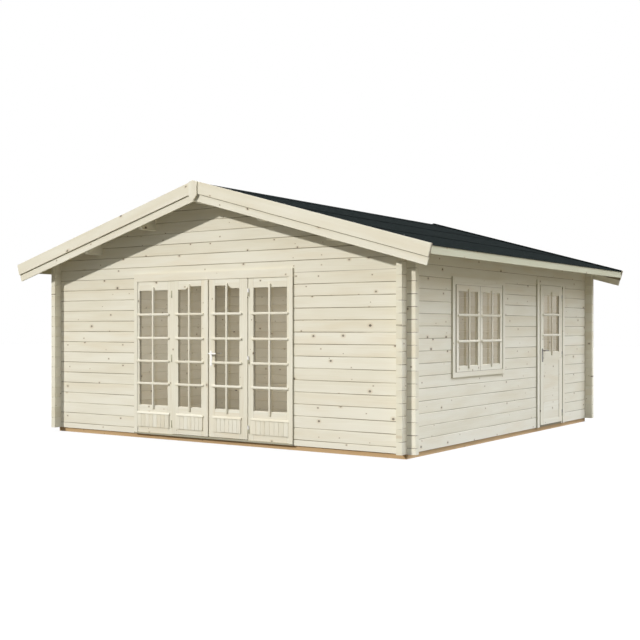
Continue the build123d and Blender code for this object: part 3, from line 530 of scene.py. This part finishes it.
sights = {
    "front_door_left": (-0.498, -0.127), "front_door_right": (0.088, 0.462),
    "sidelight_left": (-1.162, -0.681), "sidelight_right": (0.665, 1.146),
}
for name, span in sights.items():
    grain, joint_and_shade_line = joinery([span], True, 11.0)
    dress(pine_material("pine_" + name, grain, knot_share=0.4, knot_radius=0.011, joint_and_shade_line=joint_and_shade_line), name)

sash_sights = [(-1.5307, -1.0323), (-0.9077, -0.4093)]
side_sight = (0.995, 1.545)
sash_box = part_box("window_sashes")


def sash_gap_shade(tree, x, y, z):
    """Painted shade in the running gaps: dark lines upright at both sides of the window and between
    the sashes, and lying above and below them.
    They are painted darker at the side toward the front, between the sashes and at the bottom than
    at the back side and the top."""
    low, high = sash_box
    line = 0.0
    for place, edge, strength in ((y, low.y, 0.8), (y, (low.y + high.y) / 2, 0.9),
                                  (y, high.y, 0.35), (z, low.z, 0.7), (z, high.z, 0.5)):
        off = calc(tree, "ABSOLUTE", calc(tree, "SUBTRACT", place, edge))
        line = calc(tree, "MAXIMUM", line, ramp(tree, off, 0.003, 0.006, strength, 0.0))
    return line


grain = joinery(sash_sights, False, 23.0)[0]
dress(pine_material("pine_sashes", grain, knot_share=0.30, knot_radius=0.010, joint_and_shade_line=sash_gap_shade),
      "window_sashes")
grain, joint_and_shade_line = joinery([side_sight], False, 31.0)
dress(pine_material("pine_side_leaf", grain, knot_share=0.5, knot_radius=0.013, joint_and_shade_line=joint_and_shade_line),
      "side_door_leaf")
window_opening = (-1.620, -0.320)
grain = joinery([window_opening], False, 41.0)[0]
# The window casing's flanks get the same painted shade.
dress(pine_material("pine_window_frame", grain, knot_share=0.30, knot_radius=0.010, darker_face_axis=1,
                    end_grain_and_shade_tone=casing_flank_shade), "window_frame")


# Glazing bars. Rounded pine strips are pinned on the outer face of every leaf, sidelight and sash,
# the lying ones over the stiles and the upright ones over the rails.
timber_random = np.random.default_rng(5)


def half_round(start, end, out, width, rise):
    """A strip with a rounded face. A point is start + u * direction + s * width/2 * c(v) * side +
    (0.35 + 0.65 * s) * rise * n(v) * out, with u from 0 to the length and v from 0 to pi. c and n
    are the square roots of cos v, with its sign, and of sin v, which gives steep flanks and a
    nearly flat face. s is a quarter circle that rounds each end over half a width. Returns
    points, faces and grain (along, across, depth)."""
    start, end, out = (np.array(p, float) for p in (start, end, out))
    length = np.linalg.norm(end - start)
    direction = (end - start) / length
    side = np.cross(out, direction)
    t = np.linspace(0, pi / 2, 5)
    u = np.concatenate([width / 2 * (1 - np.cos(t)), length - width / 2 * (1 - np.cos(t[::-1]))])
    s = np.concatenate([np.sin(t), np.sin(t[::-1])])
    s = np.maximum(s, 0.02)
    v = np.linspace(0, pi, 13)
    a = s[:, None] * width / 2 * np.sign(np.cos(v)) * np.sqrt(np.abs(np.cos(v)))
    b = (0.35 + 0.65 * s[:, None]) * rise * np.sqrt(np.abs(np.sin(v)))
    points = start + u[:, None, None] * direction + a[..., None] * side + b[..., None] * out
    grain = np.stack([np.broadcast_to(u[:, None], a.shape), a, b], axis=-1)
    return points.reshape(-1, 3), tube_faces(*a.shape), grain.reshape(-1, 3)


def tube_faces(stations, around, closed_path=False):
    """Faces of a tube whose points lie in rings: quads between the rings, and a cap at each end."""
    i, j = np.meshgrid(np.arange(stations if closed_path else stations - 1), np.arange(around),
                       indexing="ij")
    k, m = (i + 1) % stations, (j + 1) % around
    quads = np.stack([i * around + j, i * around + m, k * around + m, k * around + j], axis=-1)
    faces = quads.reshape(-1, 4).tolist()
    if not closed_path:
        faces.append(list(range(around))[::-1])
        faces.append(list(range((stations - 1) * around, stations * around)))
    return faces


def make_piece(name, parts, material, body, smooth=35):
    """Joins parts of (points, faces, grain) into one object that rides on a body. Each part has
    its own random board number. Parts that would be inside out are turned: the sum of the
    tetrahedra from the origin to each face gives a part's volume, which must be positive."""
    all_points, all_faces, all_grain, all_boards = [], [], [], []
    count = 0
    for points, faces, grain in parts:
        centred = points - points.mean(axis=0)
        volume = sum(
            np.dot(centred[f[0]], np.cross(centred[f[i]], centred[f[i + 1]]))
            for f in faces for i in range(1, len(f) - 1)
        )
        if volume < 0:
            faces = [f[::-1] for f in faces]
        all_faces += [[count + n for n in f] for f in faces]
        count += len(points)
        all_points.append(points)
        all_grain.append(grain)
        all_boards.append(np.full(len(points), timber_random.random()))
    mesh = bpy.data.meshes.new(name)
    mesh.from_pydata(np.concatenate(all_points).tolist(), [], all_faces)
    grain_data = mesh.attributes.new("grain", "FLOAT_VECTOR", "POINT")
    grain_data.data.foreach_set("vector", np.concatenate(all_grain).astype(np.float32).ravel())
    board_data = mesh.attributes.new("board", "FLOAT", "POINT")
    board_data.data.foreach_set("value", np.concatenate(all_boards).astype(np.float32))
    mesh.shade_smooth()
    mesh.set_sharp_from_angle(angle=radians(smooth))
    mesh.materials.append(material)
    piece = bpy.data.objects.new(name, mesh)
    scene.collection.objects.link(piece)
    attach(piece, body)
    return piece


def strip_grain(tree, x, y, z):
    """Grain that the piece itself carries, from its length, width and depth."""
    lines = put(tree, "SeparateXYZ", {0: put(
        tree, "Attribute", attribute_name="grain").outputs["Vector"]}).outputs
    board = put(tree, "Attribute", attribute_name="board").outputs["Fac"]
    return lines[0], lines[1], calc(tree, "ADD", lines[2], 0.02), board


pine_strips = pine_material("pine_strips", strip_grain, knot_share=0.10, knot_radius=0.006)
bar_width = 0.031
bar_rise = 0.018
bar_lap, sidelight_bar_lap, sash_bar_lap = 0.045, 0.030, 0.034
front_bar_heights = (1.553, 1.258, 0.972, 0.692)
front_glass_heights = (0.417, 1.8545)
leaf_rise = 0.036
front_face = -2.720
sidelight_face = -2.710
leaf_thickness = 0.044
front_frames = (
    ("front_leaf_left", "front_leaf_left", front_face, sights["front_door_left"]),
    ("front_leaf_right", "front_leaf_right", front_face, sights["front_door_right"]),
    ("sidelight_left", "root", sidelight_face, sights["sidelight_left"]),
    ("sidelight_right", "root", sidelight_face, sights["sidelight_right"]),
)


def bars(along, out, face, span, heights, low, high, lap, low_lap=0.048, high_lap=0.045):
    """Bars on the outer face of a frame, over its pane: one upright in the middle of the span,
    and one lying bar at each height. along and out are unit vectors, and face is the coordinate
    of the outer face on the axis of out."""
    along, out = np.array(along, float), np.array(out, float)
    up = np.array([0, 0, 1.0])
    middle = (span[0] + span[1]) / 2
    at = face * np.abs(out)
    parts = [half_round(at + middle * along + (low - low_lap) * up,
                        at + middle * along + (high + high_lap) * up, out, bar_width, bar_rise)]
    for height in heights:
        parts.append(half_round(at + (span[0] - lap) * along + height * up,
                                at + (span[1] + lap) * along + height * up,
                                out, bar_width, bar_rise))
    return parts


for name, body, face, span in front_frames:
    fixed = body == "root"
    top = front_glass_heights[1] + (0 if fixed else leaf_rise / 2)
    parts = bars((1, 0, 0), (0, -1, 0), face, span, front_bar_heights, front_glass_heights[0], top,
                 sidelight_bar_lap if fixed else bar_lap)
    make_piece(name + "_bars", parts, pine_strips, body)

sash_face = 2.720
sash_glass, sash_bar_heights = (0.945, 1.813), (1.533, 1.231)
side_glass, side_bar_heights = (1.060, 1.8345), (1.567, 1.289)
parts = []
for span in sash_sights:
    parts += bars((0, 1, 0), (1, 0, 0), sash_face, span, sash_bar_heights, *sash_glass,
                  sash_bar_lap, low_lap=0.030, high_lap=0.030)
make_piece("window_bars", parts, pine_strips, "root")
parts = bars((0, 1, 0), (1, 0, 0), sash_face, side_sight, side_bar_heights, *side_glass, bar_lap)
make_piece("side_leaf_bars", parts, pine_strips, "side_leaf")


# Glass. Clear single panes sit in the middle of the frames. Daylight passes through them into the
# room.
glass_material, tree = new_material("clear_pane")
pane = put(tree, "BsdfPrincipled", {
    "Base Color": (0.86, 0.86, 0.83, 1), "Roughness": 0.0, "IOR": 1.45,
    "Transmission Weight": 1.0})
light_through = put(tree, "BsdfTransparent", {"Color": (0.86, 0.86, 0.84, 1)})
path = put(tree, "LightPath").outputs
pane_open = calc(tree, "MAXIMUM", path["Is Glossy Ray"], calc(
    tree, "MAXIMUM", path["Is Shadow Ray"], path["Is Diffuse Ray"]))
pane_mix = put(tree, "MixShader", {0: pane_open, 1: pane.outputs[0], 2: light_through.outputs[0]})
put(tree, "OutputMaterial", {"Surface": pane_mix.outputs[0]})
dress(glass_material, "front_door_left_glass", "front_door_right_glass", "sidelight_glass",
      "window_glass", "side_door_glass")


# Boarded panels. The lower panel of each front leaf and sidelight is clad with narrow upright
# boards with a V at each joint. Outside they stand proud of the frame, under a sloped ledge.
def board(start, end, side, up, profile):
    """A straight board: the profile's points (a, b) lie at start + a * side + b * up and again at
    end. Returns points, faces and grain (along, across, depth)."""
    start, end, side, up = (np.array(p, float) for p in (start, end, side, up))
    profile = np.array(profile, float)
    across = profile[:, :1] * side + profile[:, 1:] * up
    points = np.concatenate([start + across, end + across])
    length = np.linalg.norm(end - start)
    grain = np.zeros((len(points), 3))
    grain[len(profile):, 0] = length
    grain[:, 1:] = np.tile(profile, (2, 1))
    return points, tube_faces(2, len(profile)), grain


def v_profile(width, thickness, groove):
    """Section of a board, from (0, 0) to (width, thickness), with its two front corners cut."""
    return [(0, 0), (width, 0), (width, thickness - groove), (width - groove, thickness),
            (groove, thickness), (0, thickness - groove)]


panel_heights = (0.149, 0.308)
panel_recess = 0.009
panel_lap = 0.026
panel_gap = 0.0006
panel_v = 0.003
panel_layers = ((-1, panel_recess, 0.020), (1, leaf_thickness - panel_recess, 0.004))
ledge_low = 0.3105
ledge_profile = [(0, 0), (0.026, 0), (0.018, 0.009), (0.006, 0.015), (0, 0.015)]
for name, body, face, span in front_frames:
    count, ledge_lap = (8, 0.0335) if body == "root" else (7, 0.034)
    parts = []
    low, high = span[0] - panel_lap, span[1] + panel_lap
    width = (high - low) / count
    for out, inward, thick in panel_layers:
        profile = v_profile(width - panel_gap, thick, panel_v)
        for n in range(count):
            x = low + n * width + panel_gap / 2
            ends = ((x, face + inward, height) for height in panel_heights)
            parts.append(board(*ends, (1, 0, 0), (0, out, 0), profile))
    ledge_ends = ((span[0] - ledge_lap, face, ledge_low), (span[1] + ledge_lap, face, ledge_low))
    parts.append(board(*ledge_ends, (0, 0, 1), (0, -1, 0), ledge_profile))
    make_piece(name + "_boards", parts, pine_strips, body, smooth=20)


# Beads. Quarter-round beads hold the panes from outside, and close the corners between the
# casings and the sidelights.
def bead_profile(radius):
    """A quarter disc: its corner at (0, 0), and points (r cos t, r sin t) from 0 to 90 degrees."""
    return [(0, 0)] + [(radius * cos(t), radius * sin(t)) for t in np.linspace(0, pi / 2, 5)]


pane_bead, casing_bead = 0.005, 0.0095
half_pane = 0.0022


def pane_beads(along, out, face, span, low, high, top=True):
    """Beads round a pane: upright at both ends of the span, and lying at the bottom and, where
    the glass has a straight top, at the top. face is the distance of the outer face along out."""
    along, out, up = np.array(along, float), np.array(out, float), np.array([0, 0, 1.0])
    pane_at = (face - leaf_thickness / 2 + half_pane) * out
    corners = [pane_at + place * along + height * up for height in (low, high) for place in span]
    low_left, low_right, high_left, high_right = corners
    profile = bead_profile(pane_bead)
    beads = [board(low_left, high_left, along, out, profile),
             board(low_right, high_right, -along, out, profile),
             board(low_left, low_right, up, out, profile)]
    if top:
        beads.append(board(high_left, high_right, -up, out, profile))
    return beads


casing_corners = {"sidelight_left": (-1.196, 1), "sidelight_right": (1.180, -1)}
casing_heights = (0.080, 1.963)
for name, body, face, span in front_frames:
    parts = pane_beads((1, 0, 0), (0, -1, 0), -face, span, *front_glass_heights,
                       top=body == "root")
    if name in casing_corners:
        x, inward = casing_corners[name]
        parts.append(board(*((x, sidelight_face, z) for z in casing_heights), (inward, 0, 0),
                           (0, -1, 0), bead_profile(casing_bead)))
    make_piece(name + "_beads", parts, pine_strips, body)
parts = []
for span in sash_sights:
    parts += pane_beads((0, 1, 0), (1, 0, 0), sash_face, span, *sash_glass)
make_piece("window_beads", parts, pine_strips, "root")
make_piece("side_leaf_beads", pane_beads((0, 1, 0), (1, 0, 0), sash_face, side_sight, *side_glass),
           pine_strips, "side_leaf")


# Foot strip. A grey-green treated strip lies on the front base beam along the whole door set.
treated_grey = ((0.430, 0.410, 0.310, 1), (0.320, 0.300, 0.215, 1), (0.200, 0.150, 0.100, 1),
                (0.120, 0.085, 0.055, 1))
foot_material = pine_material("treated_foot_strip", strip_grain, treated_grey, knot_share=0.1,
                              knot_radius=0.006)
foot_y, foot_low, foot_ends = -2.7005, 0.0552, (-1.246, 1.230)
foot = board(*((x, foot_y, foot_low) for x in foot_ends), (0, 0, 1), (0, -1, 0),
             [(0, 0), (0.022, 0), (0.022, 0.014), (0.016, 0.024), (0, 0.024)])
make_piece("front_foot_strip", [foot], foot_material, "root", smooth=20)


# Roof boards. Tongued boards with a V on the underside run from the ridge to the eaves, over the
# purlins. They are seen from below at the overhangs and inside.
roof_board_rise = 0.019 / cos(roof_pitch)
roof_half_length = 2.967
board_end = 3.110
roof_board_count = 62
roof_board_gap, roof_board_v = 0.0006, 0.004
# The roof boards get darker, warmer pine colours than the logs: partly their own tone, partly
# painted shade for the soffits under the eaves.
roof_pine = ((0.640, 0.560, 0.385, 1), (0.500, 0.420, 0.260, 1), pine_halo, pine_knot)
pine_roof = pine_material("pine_roof_boards", strip_grain, roof_pine, knot_share=0.4,
                          knot_radius=0.011)
width = 2 * roof_half_length / roof_board_count
profile = v_profile(width - roof_board_gap, roof_board_rise, roof_board_v)
for side_name, x_sign in (("left", -1), ("right", 1)):
    parts = []
    for n in range(roof_board_count):
        y = -roof_half_length + n * width + roof_board_gap / 2
        parts.append(board(
            (0, y, ridge_z + roof_board_rise),
            (x_sign * board_end, y, ridge_z - board_end * roof_slope + roof_board_rise),
            (0, 1, 0), (0, 0, -1), profile))
    piece = make_piece("roof_boards_" + side_name + "_tongued", parts, pine_roof, "root",
                       smooth=20)
    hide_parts("roof_boards_" + side_name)


# Floor boards, tongued and laid across the joists.
floor_low, floor_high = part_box("floor_deck")
floor_count = 46
floor_gap, floor_v = 0.0008, 0.0015
parts = []
width = (floor_high.y - floor_low.y) / floor_count
profile = v_profile(width - floor_gap, floor_high.z - floor_low.z, floor_v)
for n in range(floor_count):
    y = floor_low.y + n * width + floor_gap / 2
    parts.append(board((floor_low.x, y, floor_low.z), (floor_high.x, y, floor_low.z), (0, 1, 0),
                       (0, 0, 1), profile))
floor_colours = ((0.780, 0.660, 0.450, 1), (0.620, 0.470, 0.270, 1), pine_halo, pine_knot)
pine_floor = pine_material("pine_floor_boards", strip_grain, floor_colours, knot_share=0.5,
                           knot_radius=0.011)
piece = make_piece("floor_boards", parts, pine_floor, "root", smooth=20)
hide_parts("floor_deck")


# Roofing felt. Bitumen sheets with fine dark slate grit lie along the roof in strips, each lapped
# over the one below and nailed, with a strip bent over the ridge.
felt_edges = (2.22, 1.24, 0.27)
roof_ends = ((0, -roof_half_length, 0), (0, roof_half_length, 0))
felt_material, tree = new_material("slate_grit_felt")
place = put(tree, "TexCoord").outputs["Object"]
grit = put(tree, "TexNoise", {"Vector": place, "Scale": 420.0, "Detail": 2.0}).outputs[0]
patch = put(tree, "TexNoise", {"Vector": place, "Scale": 3.5, "Detail": 4.0}).outputs[0]
grit_colour = blend(tree, ramp(tree, grit, 0.38, 0.66), (0.002, 0.004, 0.004, 1),
                    (0.020, 0.027, 0.026, 1))
grit_colour = blend(tree, ramp(tree, patch, 0.30, 0.75, 0.0, 0.36), grit_colour,
                    (0.003, 0.005, 0.005, 1))
across_roof = calc(tree, "ABSOLUTE", put(tree, "SeparateXYZ", {0: place}).outputs[0])
for edge in felt_edges:
    bleed = ramp(tree, calc(tree, "ABSOLUTE", calc(tree, "SUBTRACT", across_roof, edge)),
                 0.004, 0.011, 0.85, 0.0)
    grit_colour = blend(tree, bleed, grit_colour, (0.001, 0.001, 0.001, 1))
bump = put(tree, "Bump", {"Height": grit, "Strength": 0.6, "Distance": 0.0008})
felt_shader = put(tree, "BsdfPrincipled", {
    "Base Color": grit_colour, "Roughness": 1.0, "Specular IOR Level": 0.01,
    "Normal": bump.outputs[0]})
put(tree, "OutputMaterial", {"Surface": felt_shader.outputs[0]})
felt_end = 3.138
felt_low = roof_board_rise
felt_sheet = 0.0040
felt_lap, felt_bend = 0.10, 0.03
for side_name, x_sign in (("left", -1), ("right", 1)):
    outline = [(0, 0), (felt_end, 0), (felt_end, felt_sheet)]
    for edge in felt_edges:
        outline += [(edge, felt_sheet), (edge - 0.001, 2 * felt_sheet),
                    (edge - felt_lap, 2 * felt_sheet), (edge - felt_lap - felt_bend, felt_sheet)]
    outline.append((0, felt_sheet))
    profile = [(x_sign * x, ridge_z - x * roof_slope + felt_low + h) for x, h in outline]
    part = board(*roof_ends, (1, 0, 0), (0, 0, 1), profile)
    piece = make_piece("felt_strips_" + side_name, [part], felt_material, "root",
                       smooth=20)
    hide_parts("roof_felt_" + side_name)
ridge_strip = 0.165
strip_z = ridge_z + felt_low + felt_sheet
strip_end = strip_z - ridge_strip * roof_slope
profile = [(-ridge_strip, strip_end), (0, strip_z), (ridge_strip, strip_end),
           (ridge_strip, strip_end + felt_sheet), (0, strip_z + felt_sheet),
           (-ridge_strip, strip_end + felt_sheet)]
part = board(*roof_ends, (1, 0, 0), (0, 0, 1), profile)
make_piece("felt_ridge_strip", [part], felt_material, "root", smooth=10)

# At the back the felt is turned up behind the bargeboards and over their top edge.
verge_y = roof_half_length - 0.003
verge_rise = 0.0425 - felt_low - felt_sheet
verge_width, verge_sheet = 0.043, 0.003
verge_end = 3.136
profile = [(0, 0), (verge_sheet, 0), (verge_sheet, verge_rise), (verge_width, verge_rise),
           (verge_width, verge_rise + verge_sheet), (0, verge_rise + verge_sheet)]
parts = []
for x_sign in (-1, 1):
    parts.append(board((0, verge_y, strip_z),
                       (x_sign * verge_end, verge_y, strip_z - verge_end * roof_slope),
                       (0, 1, 0), (0, 0, 1), profile))
make_piece("felt_verge_back", parts, felt_material, "root", smooth=10)


# Fittings. Zinc-plated hinges, and lever handles on long plates, of satin steel in front and of
# dark steel at the side.
def metal_material(name, colour, roughness):
    """Brushed metal: fine scratches along Z change its roughness a little."""
    material, tree = new_material(name)
    stretched = put(tree, "Mapping", {"Vector": put(tree, "TexCoord").outputs["Object"],
                                      "Scale": (900, 900, 25)}).outputs[0]
    scratch = put(tree, "TexNoise", {"Vector": stretched, "Scale": 1.0, "Detail": 2.0}).outputs[0]
    rough = calc(tree, "MULTIPLY_ADD", scratch, 0.18, roughness - 0.09)
    shade = blend(tree, scratch, colour, tuple(0.82 * c for c in colour[:3]) + (1,))
    shader = put(tree, "BsdfPrincipled", {"Base Color": shade, "Metallic": 1.0, "Roughness": rough})
    put(tree, "OutputMaterial", {"Surface": shader.outputs[0]})
    return material


dress(metal_material("zinc_plate", (0.50, 0.48, 0.36, 1), 0.48),
      "frame_hinges", "front_door_left_fittings")
dress(metal_material("satin_steel", (0.70, 0.69, 0.67, 1), 0.50), "front_door_right_fittings")
dress(metal_material("dark_steel", (0.30, 0.29, 0.27, 1), 0.42), "side_door_fittings")
